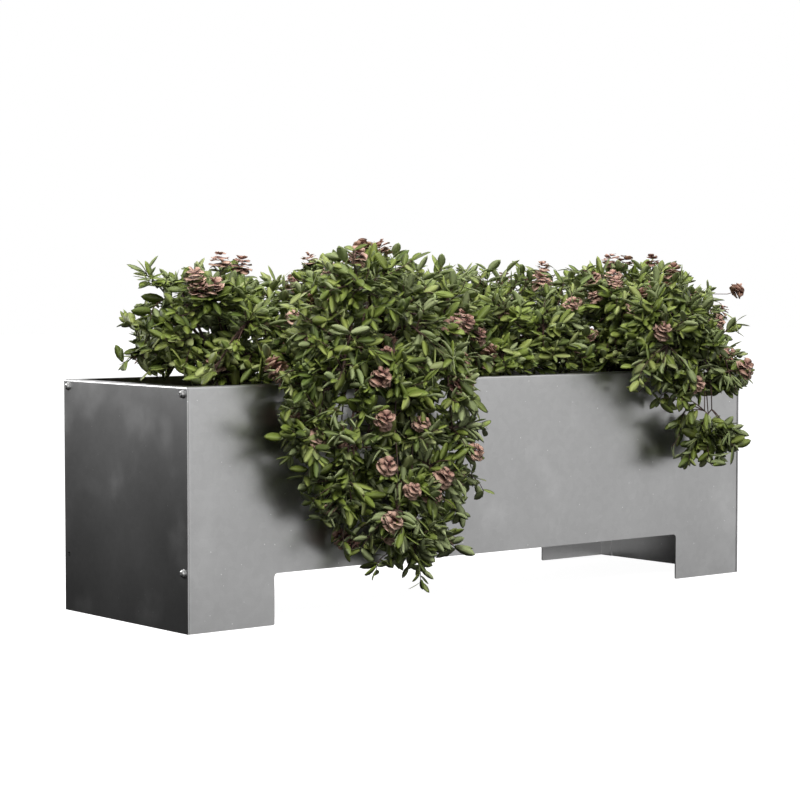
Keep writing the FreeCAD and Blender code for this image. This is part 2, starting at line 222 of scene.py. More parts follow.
def galvanisedSteel():
    f = newFinish("galvanisedSteel")
    cloud = f.noise(3.6, 4, 0.5)
    stain = f.step(f.noise(9, 3, 0.45), 0.48, 0.8)
    spangle = f.node("ShaderNodeSeparateColor", sockets={"Color": f.cells(85)})
    grain = f.noise(420, 2, 0.6)
    drawn = f.noise(30, 3, 0.6, stretch=(1, 1, 14))
    speckCell = f.node("ShaderNodeSeparateColor", sockets={"Color": f.cells(42)}, out=1)
    speck = (f.cells(42, "Distance") < 0.06) * (speckCell > 0.55)
    g = galvanised
    tone = (cloud - 0.5) * g["cloud"] + (spangle - 0.5) * g["spangle"] + (grain - 0.5) * g["grain"]
    tone = tone + (drawn - 0.5) * g["drawn"] + stain * g["stain"] + speck * g["speck"] + g["tone"]
    colour = f.node("ShaderNodeCombineColor", sockets={0: tone, 1: tone, 2: tone})
    rough = (cloud - 0.5) * g["cloudRoughness"] + stain * g["stainRoughness"] + g["roughness"]
    return f.surface(Base_Color=colour, Metallic=1.0, Roughness=rough, Normal=f.bump(drawn, 0.04, 0.0006))


def wornFixing():
    f = newFinish("wornFixing")
    wear = f.noise(600, 4, 0.6)
    colour = f.ramp(wear, [(0.3, (0.46, 0.46, 0.46)), (0.7, (0.72, 0.72, 0.71))])
    return f.surface(Base_Color=colour, Metallic=1.0, Roughness=0.24 + wear * 0.2,
                     Normal=f.bump(wear, 0.1, 0.0003))


def blackPlastic():
    f = newFinish("blackPlastic")
    grain = f.noise(900, 2)
    return f.surface(Base_Color=(0.02, 0.02, 0.02, 1), Roughness=0.42 + grain * 0.2,
                     Normal=f.bump(grain, 0.1, 0.0002))


def gravelStone():
    f = newFinish("gravelStone")
    pebble = f.node("ShaderNodeSeparateColor", sockets={"Color": f.cells(95)})
    edge = f.cells(95, "Distance")
    colour = f.ramp(pebble, [(0.0, (0.16, 0.14, 0.12)), (0.5, (0.33, 0.30, 0.26)), (1.0, (0.5, 0.47, 0.43))])
    return f.surface(Base_Color=colour, Roughness=0.75, Normal=f.bump(1 - edge, 0.9, 0.006))


def darkSoil():
    f = newFinish("darkSoil")
    crumb = f.noise(190, 6, 0.7)
    patch = f.noise(14, 3)
    mixed = crumb * 0.7 + patch * 0.3
    colour = f.ramp(mixed, [(0.35, (0.010, 0.007, 0.005)), (0.55, (0.035, 0.023, 0.014)),
                            (0.7, (0.09, 0.06, 0.038))])
    return f.surface(Base_Color=colour, Roughness=0.93, Normal=f.bump(crumb, 0.8, 0.006))


def twigBark():
    f = newFinish("twigBark")
    streak = f.noise(240, 4, 0.6)
    colour = f.ramp(streak, [(0.3, (0.028, 0.016, 0.014)), (0.7, (0.10, 0.058, 0.045))])
    return f.surface(Base_Color=colour, Roughness=0.62, Normal=f.bump(streak, 0.4, 0.0008))


# tint holds, for each face: a random number of the leaf, its age and 1 on the underside
def leafGreen():
    f = newFinish("leafGreen")
    tint = f.node("ShaderNodeAttribute", {"attribute_name": "tint"}, out="Vector")
    each, age, under = f.split(tint)
    along, sideways = f.split(f.node("ShaderNodeUVMap", {"uv_map": "leafMap"}), 2)
    across = abs(sideways - 0.5)
    rib = 1 - f.step(across, 0.012, 0.05)
    wave = f.node("ShaderNodeMath", {"operation": "SINE"}, {0: (along * 9 - across * 7) * 6.283})
    vein = f.step(wave, 0.82, 1.0)
    green = f.ramp(each, [(0.0, (0.085, 0.110, 0.018)), (0.4, (0.155, 0.200, 0.034)),
                          (0.75, (0.21, 0.245, 0.060)), (1.0, (0.28, 0.31, 0.13))])
    green = f.blend(age, green, (0.07, 0.105, 0.025, 1))
    green = f.blend(rib * 0.28 + vein * 0.10, green, (0.34, 0.40, 0.15, 1))
    below = f.blend(each, (0.19, 0.235, 0.095, 1), (0.30, 0.34, 0.17, 1))
    mottle = f.noise(260, 3)
    colour = f.blend(under, green, below)
    colour = f.blend((mottle - 0.4) * 0.5, colour, (0.03, 0.05, 0.012, 1))
    return f.surface(Base_Color=colour, Roughness=0.30 + under * 0.28 + mottle * 0.12,
                     Normal=f.bump(rib + vein * 0.4, 0.25, 0.0006))


# tint holds, for each face of a petal: a random number of the flower and how high its tier is
def dustyPetal():
    f = newFinish("dustyPetal")
    tint = f.node("ShaderNodeAttribute", {"attribute_name": "tint"}, out="Vector")
    each, tier = f.split(tint, 2)
    along, = f.split(f.node("ShaderNodeUVMap", {"uv_map": "leafMap"}), 1)
    pink = f.ramp(each, [(0.0, (0.13, 0.062, 0.05)), (0.3, (0.35, 0.205, 0.15)), (1.0, (0.55, 0.365, 0.275))])
    heart = f.step(along, 0.08, 0.6)
    colour = f.blend(heart, (0.10, 0.034, 0.034, 1), pink)
    colour = f.blend(f.step(along, 0.7, 1.0) * 0.45, colour, (0.66, 0.50, 0.39, 1))
    colour = f.blend(tier * 0.3, colour, (0.20, 0.09, 0.08, 1))
    crease = f.noise(420, 3, 0.6)
    colour = f.blend((crease - 0.45) * 0.7, colour, (0.17, 0.075, 0.065, 1))
    return f.surface(Base_Color=colour, Roughness=0.58, Normal=f.bump(crease, 0.5, 0.001))


steel, fixing, plastic = galvanisedSteel(), wornFixing(), blackPlastic()
gravel, soilFinish, bark = gravelStone(), darkSoil(), twigBark()
leafFinish, petalFinish = leafGreen(), dustyPetal()

finishOfSlot = {"steel_sheet": steel, "fixings": fixing, "black_plastic": plastic, "gravel": gravel,
                "soil": soilFinish, "stems": bark, "foliage": leafFinish}
for part in frame["record"]["subparts"]:
    node = frame["nodes"][part["node"]]
    node.data.materials.clear()
    node.data.materials.append(finishOfSlot[part["material_slot"]])
print("finishes on", len(frame["nodes"]), "nodes")


soilShape = {"across": 9 * mm, "lump": 9 * mm, "lumpSize": 0.09, "crumb": 4 * mm, "crumbSize": 0.021,
             "grit": 0.8 * mm, "sink": 4 * mm}


# soilBed: a block whose top is a grid of heights, top + lump * swell + crumb * swell of smaller size, with
# straight sides and a base with the same grid
def soilBed():
    low, high = boxOf("soil_block")
    nx, ny = [int((high[i] - low[i]) / soilShape["across"]) + 1 for i in (0, 1)]
    x, y = np.meshgrid(np.linspace(low[0], high[0], nx), np.linspace(low[1], high[1], ny), indexing="ij")
    flat = np.stack([x, y, np.zeros_like(x)], -1)
    lumps = swell(flat, soilShape["lumpSize"], rng) * soilShape["lump"]
    lumps = lumps + swell(flat, soilShape["crumbSize"], rng) * soilShape["crumb"]
    lumps += rng.normal(0, soilShape["grit"], x.shape)
    top = np.stack([x, y, high[2] - soilShape["sink"] + lumps], -1).reshape(-1, 3)
    base = np.stack([x, y, np.full_like(x, low[2])], -1).reshape(-1, 3)
    at = np.arange(nx * ny).reshape(nx, ny)
    cell = np.stack([at[:-1, :-1], at[1:, :-1], at[1:, 1:], at[:-1, 1:]], -1).reshape(-1, 4)
    rim = np.concatenate([at[:-1, 0], at[-1, :-1], at[:0:-1, -1], at[0, :0:-1]])
    n = nx * ny
    wall = np.stack([rim + n, np.roll(rim, -1) + n, np.roll(rim, -1), rim], -1)
    piece = makePiece("soilBed", np.concatenate([top, base]), [np.concatenate([cell, cell[:, ::-1] + n, wall])],
                      soilFinish, "soil")
    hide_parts("soil_block")


soilBed()
print("soil made")


# bezier: points along curves from a to d, pulled by b and c, at each share t of the way
def bezier(a, b, c, d, rings):
    t = np.linspace(0, 1, rings)[None, :, None]
    a, b, c, d = a[:, None], b[:, None], c[:, None], d[:, None]
    return (1 - t) ** 3 * a + 3 * (1 - t) ** 2 * t * b + 3 * (1 - t) * t ** 2 * c + t ** 3 * d


# tubes: every line of points gets a ring of points round each of its points, at the given radius, square to
# the line, and a closed end on both sides
def tubes(lines, radii, sides):
    count, rings, _ = lines.shape
    run = unit(np.gradient(lines, axis=1))
    chord = unit(lines[:, -1] - lines[:, 0])
    aside = np.where(np.abs(chord[:, 2:]) > 0.8, [[1.0, 0, 0]], [[0, 0, 1.0]])
    u = squareTo(np.repeat(aside[:, None], rings, 1), run)
    v = np.cross(run, u)
    turn = np.linspace(0, 2 * math.pi, sides, endpoint=False)
    ring = np.cos(turn)[:, None] * u[:, :, None] + np.sin(turn)[:, None] * v[:, :, None]
    skin = (lines[:, :, None] + ring * radii[:, :, None, None]).reshape(-1, 3)
    at = np.arange(count * rings * sides).reshape(count, rings, sides)
    after = np.roll(at, -1, axis=2)
    wall = np.stack([at[:, :-1], after[:, :-1], after[:, 1:], at[:, 1:]], -1).reshape(-1, 4)
    feet = len(skin) + np.arange(count)
    heads = feet + count
    foot = np.stack([np.repeat(feet[:, None], sides, 1), after[:, 0], at[:, 0]], -1).reshape(-1, 3)
    head = np.stack([np.repeat(heads[:, None], sides, 1), at[:, -1], after[:, -1]], -1).reshape(-1, 3)
    return np.concatenate([skin, lines[:, 0], lines[:, -1]]), [wall, np.concatenate([foot, head])]


# rows of points across a blade, as shares of its length
bladeRows = np.array([0.13, 0.36, 0.62, 0.85])


# bladeFaces: faces of one blade: a base point, four rows of left edge, upper middle, right edge and lower
# middle, and a tip point; the upper faces come first in each row
def bladeFaces():
    rows = 1 + np.arange(len(bladeRows) * 4).reshape(-1, 4)
    tip = len(bladeRows) * 4 + 1
    left, upper, right, lower = rows.T
    top = np.concatenate([np.stack([left[:-1], upper[:-1], upper[1:], left[1:]], -1),
                          np.stack([upper[:-1], right[:-1], right[1:], upper[1:]], -1)])
    low = np.concatenate([np.stack([right[:-1], lower[:-1], lower[1:], right[1:]], -1),
                          np.stack([lower[:-1], left[:-1], left[1:], lower[1:]], -1)])
    topEnds = np.array([[0, upper[0], left[0]], [0, right[0], upper[0]],
                        [tip, left[-1], upper[-1]], [tip, upper[-1], right[-1]]])
    lowEnds = np.array([[0, lower[0], right[0]], [0, left[0], lower[0]],
                        [tip, right[-1], lower[-1]], [tip, lower[-1], left[-1]]])
    return top[:, ::-1], low[:, ::-1], topEnds[:, ::-1], lowEnds[:, ::-1]


# blades: thin closed blades. At a share u of its length a blade is as wide as width * outline(u); it sinks by
# curl * u^2, its sides rise by fold times their distance from the rib, and wave lifts its sides in turn
def blades(foot, along, up, length, width, curl, fold, outline, thick=0.45 * mm, wave=None):
    count = len(foot)
    face = squareTo(up, along)
    side = np.cross(face, along)
    half = outline(bladeRows)[None] * width[:, None] / 2
    far = bladeRows[None] * length[:, None]
    sink = -(curl * length)[:, None] * bladeRows[None] ** 2
    rise = fold[:, None] * half
    ruffle = 0 if wave is None else wave[:, None] * np.array([0.4, -1.0, 1.0, -0.7])[None]
    zero = np.zeros_like(far)
    sections = [(far, half, sink + rise + ruffle), (far, zero, sink + thick / 2),
                (far, -half, sink + rise - ruffle), (far, zero, sink - thick / 2)]
    x, y, z = [np.stack([s[i] for s in sections], -1).reshape(count, -1) for i in range(3)]
    tips = np.stack([length, np.zeros(count), -curl * length], -1)[:, None]
    local = np.concatenate([np.zeros((count, 1, 3)), np.stack([x, y, z], -1), tips], 1)
    points = foot[:, None] + local[..., :1] * along[:, None] + local[..., 1:2] * side[:, None]
    return points + local[..., 2:] * face[:, None]


# bladePiece: one mesh of many blades, with a map of along and across and a tint on every face
def bladePiece(name, points, tint, finish, slot):
    count, each = points.shape[:2]
    top, low, topEnds, lowEnds = bladeFaces()
    start = (np.arange(count) * each)[:, None, None]
    quads = (np.concatenate([top, low])[None] + start).reshape(-1, 4)
    tris = (np.concatenate([topEnds, lowEnds])[None] + start).reshape(-1, 3)
    alongAt = np.concatenate([[0], np.repeat(bladeRows, 4), [1]])
    acrossAt = np.concatenate([[0.5], np.tile([0, 0.5, 1, 0.5], len(bladeRows)), [0.5]])
    mapAt = np.stack([alongAt, acrossAt], -1)
    corners = np.concatenate([np.tile(mapAt[np.concatenate([top, low]).ravel()], (count, 1)),
                              np.tile(mapAt[np.concatenate([topEnds, lowEnds]).ravel()], (count, 1))])
    underQuads = np.repeat([0, 1], [len(top), len(low)])
    underTris = np.repeat([0, 1], [len(topEnds), len(lowEnds)])
    tintOf = lambda under: np.concatenate([
        np.repeat(tint, len(under), 0), np.tile(under, count)[:, None]], 1)
    faceTint = np.concatenate([tintOf(underQuads), tintOf(underTris)])
    return makePiece(name, points.reshape(-1, 3), [quads, tris], finish, slot, corners, faceTint)


clearance = {"skin": 2 * mm, "rim": 22 * mm, "proud": 18 * mm}


# clearOfBox: true for blades with no point in the steel or the soil, under the ground or far out
def clearOfBox(points):
    low, high = boxOf("front_panel")[0], boxOf("back_panel")[1]
    ends = boxOf("left_end_panel")[0][0], boxOf("right_end_panel")[1][0]
    soilTop = boxOf("soil_block")[1][2]
    skin, rim, proud = clearance["skin"], clearance["rim"], clearance["proud"]
    x, y, z = np.moveaxis(points, -1, 0)
    inside = (x > ends[0] - skin) & (x < ends[1] + skin) & (y > low[1] - skin) & (y < high[1] + skin)
    inside &= z < high[2] + skin
    well = (x > ends[0] + rim) & (x < ends[1] - rim) & (y > low[1] + rim) & (y < high[1] - rim)
    well &= z > soilTop + skin
    far = np.any((points < np.array(cadBox[0]) - proud) | (points > np.array(cadBox[1]) + proud), axis=-1)
    return ~np.any((inside & ~well) | far, axis=-1) & ~np.any(z < skin, axis=-1)


leafShape = {"length": (27 * mm, 46 * mm), "width": 0.42, "curl": (-0.06, 0.20), "fold": (0.0, 0.3),
             "broad": (0.85, 1.15), "ofShoot": (0.85, 1.12), "young": 0.7, "missing": 0.06,
             "tone": (0.5, 0.22), "toneSpread": 0.2, "oldest": 0.8, "turn": math.radians(137.5)}
shootShape = {"inset": 10 * mm, "ragged": 40 * mm, "lumps": 26 * mm, "lumpSize": 0.15, "onFlats": 0.22,
              "inner": 0.36, "innerDepth": (25 * mm, 95 * mm), "stray": 0.10, "strayReach": (8 * mm, 30 * mm),
              "headroom": 6 * mm, "edge": 12 * mm, "skirt": 0.13, "skirtRise": (-6 * mm, 38 * mm),
              "span": (60 * mm, 120 * mm), "bow": 0.12, "rings": 9, "leaves": 10, "rosette": 2, "leafy": 0.8,
              "flat": 0.6, "level": 0.4, "radius": 1.0 * mm, "taper": (1.5, 0.75), "sides": 5}
branchShape = {"foot": 4.5 * mm, "end": 1.8 * mm, "rings": 14, "sides": 7, "thickness": (0.6, 1.1),
               "spread": 16 * mm, "root": 8 * mm, "lean": (0.2, 0.4), "lift": (0.05, 0.12), "bareRings": 5,
               "overRim": (0.10, 0.20), "ahead": 0.09, "inward": 0.22, "wobble": 7 * mm}
flowerShape = {"tiers": [(0.0, 20.5, 5, -8), (5.5, 20.0, 4, 2), (11.0, 18.0, 4, 12), (16.0, 13.0, 3, 34)],
               "width": 1.35, "ruffle": 1.5 * mm, "thick": 0.6 * mm, "heart": 1.2 * mm, "size": (0.82, 1.12),
               "broad": (0.85, 1.15), "curl": (-0.15, 0.35), "fold": (-0.35, 0.3), "stalk": 16 * mm,
               "stalkRadius": 0.9 * mm, "stalkRings": 6, "headroom": 8 * mm}

# Counts of shoots, branches and flowers. Higher tips lean to the left by a share, overhang, of their height,
# and none is further above its part's box than above. Bare holds places without leaves, as centre and half
# sizes, and standOut the few flowers on long stalks, as shares of the part's box
shrubPlan = {
    "left": {"crown": 255, "fall": 0, "flowers": (12, 0), "branches": 18, "overhang": 0.30, "above": -16 * mm,
             "bare": [((-0.80, 0.24, 0.44), (0.15, 0.28, 0.10))], "standOut": {}},
    "trailing": {"crown": 390, "fall": 430, "flowers": (25, 40), "branches": 24, "overhang": 0.08, "above": 4 * mm,
                 "bare": [((0.03, -0.32, 0.27), (0.12, 0.12, 0.17))],
                 "standOut": {"crown": [(0.60, 0.52, 1.10), (0.665, 0.50, 1.07)], "fall": [(0.95, 0.66, 0.43)]}},
    "middle": {"crown": 320, "fall": 0, "flowers": (16, 0), "branches": 20, "overhang": 0.0, "above": -16 * mm,
               "bare": [], "standOut": {}},
    "right": {"crown": 350, "fall": 230, "flowers": (40, 11), "branches": 22, "overhang": 0.0, "above": -16 * mm,
              "bare": [((0.68, -0.30, 0.385), (0.20, 0.14, 0.036)), ((0.36, -0.30, 0.34), (0.12, 0.14, 0.085)),
                       ((0.60, -0.30, 0.20), (0.30, 0.14, 0.05)), ((0.83, -0.30, 0.40), (0.07, 0.20, 0.09))],
              "standOut": {"crown": [(0.985, 0.14, 0.72)]}},
}


def leafOutline(u):  # an ellipse drawn out to a point
    return np.sin(math.pi * u ** 1.03) ** 0.64


def petalOutline(u):  # a fan: narrow at the foot, widest near its end
    return np.sin(math.pi * u ** 1.55) ** 0.62


# shootTips: tips a little inside the skin of the shrub's solid, deeper in the troughs of a swell and for the
# inner shoots, outside it for a few strays, and fewer on flat faces that only separate solids. Some of a
# crown's tips make a skirt just over the rim
def shootTips(node, count, draw):
    points, out = skinPoints(node, count * 3, draw)
    cut = (np.abs(out[:, 0]) > 0.999) | (out[:, 2] < -0.999) | (out[:, 1] > 0.999)
    keep = np.flatnonzero(~cut | (draw.random(len(cut)) < shootShape["onFlats"]))[:count]
    points, out = points[keep], out[keep]
    inner = draw.random(count) < shootShape["inner"]
    depth = shootShape["inset"] + shootShape["ragged"] * (draw.beta(1.4, 3.0, count) * 2 - 0.45)
    depth = depth + shootShape["lumps"] * (0.4 + 0.8 * swell(points, shootShape["lumpSize"], draw))
    depth = depth + inner * draw.uniform(*shootShape["innerDepth"], count)
    stray = (draw.random(count) < shootShape["stray"]) & ~inner
    depth = np.where(stray, -draw.uniform(*shootShape["strayReach"], count), depth)
    tips = points - out * depth[:, None]
    low, high = boxOf(node)
    edge = shootShape["edge"]
    if high[1] < boxOf("front_panel")[0][1]:
        tips[:, 1] = np.minimum(tips[:, 1], high[1] - edge)
        return tips, out, inner
    tips[:, 2] = np.maximum(tips[:, 2], low[2] - edge)
    skirt = np.flatnonzero(draw.random(count) < shootShape["skirt"])
    spot = low + (high - low) * draw.uniform(-0.04, 1.04, (len(skirt), 3))
    wide = boxOf("soil_block")
    spot[:, :2] = np.clip(spot[:, :2], wide[0][:2] + edge, wide[1][:2] - edge)
    spot[:, 2] = low[2] + draw.uniform(*shootShape["skirtRise"], len(skirt))
    tips[skirt] = spot
    out[skirt] = unit((spot - (low + high) / 2) * np.array([1, 1, 0]) + np.array([0, 0, 0.06]))
    return tips, out, inner


# inBare: true for points in one of the plan's bare places, which are ellipsoids of centre and half sizes
def inBare(points, bare):
    inside = np.zeros(points.shape[:-1], bool)
    for centre, half in bare:
        inside |= np.linalg.norm((points - np.array(centre)) / np.array(half), axis=-1) < 1
    return inside


# inReach: points moved into the CAD model's box, a margin inside it
def inReach(points, margin):
    low, high = [np.array(corner) for corner in cadBox]
    return np.clip(points, low + margin, high - margin)


# branchLines: curves from the stems' foot to places inside the shrub, over the rim for a fall
def branchLines(stems, ends, overRim, draw):
    low, high = boxOf(stems)
    middle = (low + high) / 2
    count = len(ends)
    spread = branchShape["spread"]
    foot = np.stack([middle[0] + draw.normal(0, spread, count), middle[1] + draw.normal(0, spread, count),
                     np.full(count, low[2] - branchShape["root"])], -1)
    rimZ = high[2]
    lean = mixRows(foot, ends, draw.uniform(*branchShape["lean"], count))
    lift = np.stack([lean[:, 0], lean[:, 1], rimZ + draw.uniform(*branchShape["lift"], count)], -1)
    if overRim:
        near = mixRows(foot, ends, np.full(count, 0.85))
        pull = np.stack([near[:, 0], np.full(count, boxOf("front_panel")[0][1] - branchShape["ahead"]),
                         rimZ + draw.uniform(*branchShape["overRim"], count)], -1)
        lift[:, 2] += 0.05
    else:
        pull = mixRows(foot, ends, np.full(count, 0.7))
        pull[:, 2] = np.maximum(pull[:, 2], rimZ + 0.03)
    lines = bezier(foot, lift, pull, ends, branchShape["rings"])
    wobble = np.linspace(0, 1, branchShape["rings"])[None, :, None] ** 0.5
    bend = np.stack([swell(lines, 0.07, draw), swell(lines, 0.08, draw), swell(lines, 0.09, draw)], -1)
    return lines + bend * wobble * branchShape["wobble"]


# shootLines: from the nearest branch point to each tip, leaving along the branch and ending outwards
def shootLines(tips, out, branchPoints, hang, draw):
    gap = np.linalg.norm(tips[:, None] - branchPoints[None], axis=-1)
    root = branchPoints[gap.argmin(1)]
    reach = np.linalg.norm(tips - root, axis=1)
    heading = unit(out + np.array([0, 0, 0.45 - hang]) + draw.normal(0, 0.35, out.shape))
    span = np.minimum(draw.uniform(*shootShape["span"], len(tips)), reach * 0.6)
    third = mixRows(root, tips, np.full(len(tips), 0.35))
    third = third + np.array([0, 0, 1.0]) * reach[:, None] * shootShape["bow"]
    return bezier(root, third, tips - heading * span[:, None] * 0.6, tips, shootShape["rings"]), heading


# leavesOn: leaves round each shoot by the golden angle, or to both sides of a flat spray, with a rosette at its
# tip. Level turns them towards the horizontal, some are missing, and none is left in the box or a bare place
def leavesOn(lines, out, level, bare, draw):
    count, rings, _ = lines.shape
    each, rosette = shootShape["leaves"], shootShape["rosette"]
    spot = np.concatenate([np.linspace(1 - shootShape["leafy"], 0.95, each - rosette), np.full(rosette, 1.0)])
    spot = np.clip(spot[None] + draw.normal(0, 0.02, (count, each)), 0, 1) * (rings - 1)
    step = np.minimum(spot.astype(int), rings - 2)
    share = spot - step
    row = np.arange(count)[:, None]
    foot = mixRows(lines[row, step], lines[row, step + 1], share)
    run = unit(lines[row, step + 1] - lines[row, step])
    u = squareTo(np.broadcast_to([0.3, 0.2, 1.0], run.shape), run)
    v = np.cross(run, u)
    turn = np.where(draw.random((count, 1)) < shootShape["flat"], math.pi, leafShape["turn"])
    angle = np.arange(each)[None] * turn + draw.uniform(0, 6.28, (count, 1))
    angle = angle + draw.normal(0, 0.25, (count, each))
    opening = draw.uniform(0.6, 1.3, (count, 1)) * np.where(np.arange(each) < each - rosette, 0.95, 1.0)
    opening = opening + draw.normal(0, 0.28, (count, each))
    ring = np.cos(angle)[..., None] * u + np.sin(angle)[..., None] * v
    along = unit(np.cos(opening)[..., None] * run + np.sin(opening)[..., None] * ring)
    along = unit(along * np.array([1, 1, 1 - level]) + np.array([0, 0, level * 0.45 - 0.10]))
    sky = unit(np.array([0, 0, 0.8]) + 0.5 * out[:, None] + 0.5 * run + draw.normal(0, 0.5, along.shape))
    size = draw.uniform(*leafShape["length"], (count, each)) * draw.uniform(*leafShape["ofShoot"], (count, 1))
    size = size * np.where(np.arange(each) == each - 1, leafShape["young"], 1.0)
    keep = draw.random((count, each)) > leafShape["missing"]
    total = int(keep.sum())
    length = size[keep]
    width = length * leafShape["width"] * draw.uniform(*leafShape["broad"], total)
    points = blades(foot[keep], along[keep], sky[keep], length, width, draw.uniform(*leafShape["curl"], total),
                    draw.uniform(*leafShape["fold"], total), leafOutline)
    tone = np.repeat(draw.normal(*leafShape["tone"], (count, 1)), each, 1)[keep]
    tone = np.clip(tone + draw.normal(0, leafShape["toneSpread"], total), 0, 1)
    age = draw.random(total) ** 3 * leafShape["oldest"]
    fine = clearOfBox(points) & ~inBare(points[:, 9], bare)
    return points[fine], np.stack([tone, age], -1)[fine]


# flowersAt: tiers of broad petals round each axis, each tier higher, smaller and more upright than the last
def flowersAt(places, axes, draw):
    points, tint = [], []
    count = len(places)
    size = draw.uniform(*flowerShape["size"], count)
    tone = np.clip(draw.normal(0.55, 0.24, count), 0, 1)
    u = squareTo(draw.normal(size=(count, 3)), axes)
    v = np.cross(axes, u)
    for tier, (lift, reach, petals, upright) in enumerate(flowerShape["tiers"]):
        spin = draw.uniform(0, 6.28, (count, 1)) + np.arange(petals)[None] * 2 * math.pi / petals
        spin = spin + draw.normal(0, 0.12, (count, petals))
        lean = np.radians(upright + draw.normal(0, 9, (count, petals)))
        outward = np.cos(spin)[..., None] * u[:, None] + np.sin(spin)[..., None] * v[:, None]
        along = unit(np.cos(lean)[..., None] * outward + np.sin(lean)[..., None] * axes[:, None])
        face = unit(axes[:, None] * np.cos(lean)[..., None] - outward * np.sin(lean)[..., None])
        foot = places[:, None] + axes[:, None] * (lift * mm * size)[:, None, None]
        foot = foot + outward * flowerShape["heart"]
        total = count * petals
        length = (reach * mm * size[:, None] * draw.uniform(0.85, 1.1, (count, petals))).ravel()
        points.append(blades(foot.reshape(-1, 3), along.reshape(-1, 3), face.reshape(-1, 3), length,
                             length * flowerShape["width"] * draw.uniform(*flowerShape["broad"], total),
                             draw.uniform(*flowerShape["curl"], total), draw.uniform(*flowerShape["fold"], total),
                             petalOutline, flowerShape["thick"],
                             draw.uniform(-1, 1, total) * flowerShape["ruffle"]))
        shade = np.clip(np.repeat(tone, petals) + draw.normal(0, 0.1, total), 0, 1)
        tint.append(np.stack([shade, np.full(total, tier / 3)], -1))
    return np.concatenate(points), np.concatenate(tint)


# joined: several sets of tubes as one list of points and two lists of faces
def joined(sets):
    starts = np.cumsum([0] + [len(skin) for skin, _ in sets])
    return (np.concatenate([skin for skin, _ in sets]),
            [np.concatenate([faces[i] + at for (_, faces), at in zip(sets, starts)]) for i in (0, 1)])


# growShrub: for the crown and the fall, tips in the CAD solid, branches to some of them, shoots to all, leaves on
# the shoots and flowers on stalks. Hang is how far the shoots of a part turn down
def growShrub(name, plan):
    draw = np.random.default_rng(sum(map(ord, name)))
    leafSets, twigSets, heads, axes, feet = [], [], [], [], []
    stems = f"{name}_shrub_stems"
    for part, hang, blooms in zip(("crown", "fall"), (0.0, 0.75), plan["flowers"]):
        if not plan[part]:
            continue
        node = f"{name}_shrub_{part}"
        tips, out, inner = shootTips(node, plan[part], draw)
        low, high = boxOf(node)
        tips[:, 0] -= (tips[:, 2] - (low[2] + high[2]) / 2) * plan["overhang"]
        tips[:, 2] = np.minimum(tips[:, 2], high[2] + plan["above"])
        tips = inReach(tips, shootShape["headroom"])
        leafed = ~inBare(tips, plan["bare"])
        tips, out, inner = tips[leafed], out[leafed], inner[leafed]
        ends = mixRows(tips, ((low + high) / 2)[None], np.full(len(tips), branchShape["inward"]))
        if part == "fall":
            ends[:, 1] = np.minimum(ends[:, 1], high[1] - 14 * mm)
        chosen = ends[draw.choice(len(ends), plan["branches"], replace=False)]
        lines = branchLines(stems, chosen, part == "fall", draw)
        taper = np.linspace(branchShape["foot"], branchShape["end"], lines.shape[1])[None]
        twigSets.append(tubes(lines, taper * draw.uniform(*branchShape["thickness"], (len(lines), 1)),
                              branchShape["sides"]))
        pointsOn = lines[:, branchShape["bareRings"]:].reshape(-1, 3)
        if part == "fall":
            pointsOn = pointsOn[pointsOn[:, 1] < high[1] - 6 * mm]
        shoots, heading = shootLines(tips, out, pointsOn, hang, draw)
        thin = np.linspace(*shootShape["taper"], shoots.shape[1])[None] * shootShape["radius"]
        twigSets.append(tubes(shoots, np.repeat(thin, len(shoots), 0), shootShape["sides"]))
        level = shootShape["level"] * (1 - hang)
        leafSets.append(leavesOn(shoots, out, level, plan["bare"], draw))
        bloom = draw.choice(np.flatnonzero(~inner), blooms, replace=False)
        way = unit(heading[bloom] * 0.3 + out[bloom] * 0.5 + np.array([0, 0, 0.9]))
        feet.append(tips[bloom])
        heads.append(inReach(tips[bloom] + way * flowerShape["stalk"], flowerShape["headroom"]))
        axes.append(way)
        for place in plan["standOut"].get(part, []):
            head = inReach((low + (high - low) * np.array(place))[None], flowerShape["headroom"])
            near = tips[np.linalg.norm(tips - head, axis=1).argmin()][None]
            feet.append(near)
            heads.append(head)
            axes.append(unit(head - near + np.array([0, 0, 0.02])))
    heads, axes, feet = np.concatenate(heads), np.concatenate(axes), np.concatenate(feet)
    reach = np.linalg.norm(heads - feet, axis=1, keepdims=True)
    stalk = bezier(feet, feet + np.array([0, 0, 0.4]) * reach, heads - axes * reach * 0.4, heads,
                   flowerShape["stalkRings"])
    twigSets.append(tubes(stalk, np.full(stalk.shape[:2], flowerShape["stalkRadius"]), shootShape["sides"]))
    twigs = makePiece(name + "ShrubTwigs", *joined(twigSets), bark, "stems")
    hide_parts(stems)
    leaves = bladePiece(name + "ShrubLeaves", *leafSets[0], leafFinish, "foliage")
    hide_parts(f"{name}_shrub_crown")
    if plan["fall"]:
        hanging = bladePiece(name + "ShrubFallLeaves", *leafSets[1], leafFinish, "foliage")
        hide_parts(f"{name}_shrub_fall")
    bladePiece(name + "ShrubFlowers", *flowersAt(heads, axes, draw), petalFinish, "foliage")
    print(name, "shrub:", sum(len(points) for points, _ in leafSets), "leaves,", len(heads), "flowers")


for shrubName, plan in shrubPlan.items():
    growShrub(shrubName, plan)


floorShape = {"size": 40.0, "glow": 0.97, "tone": 0.3}


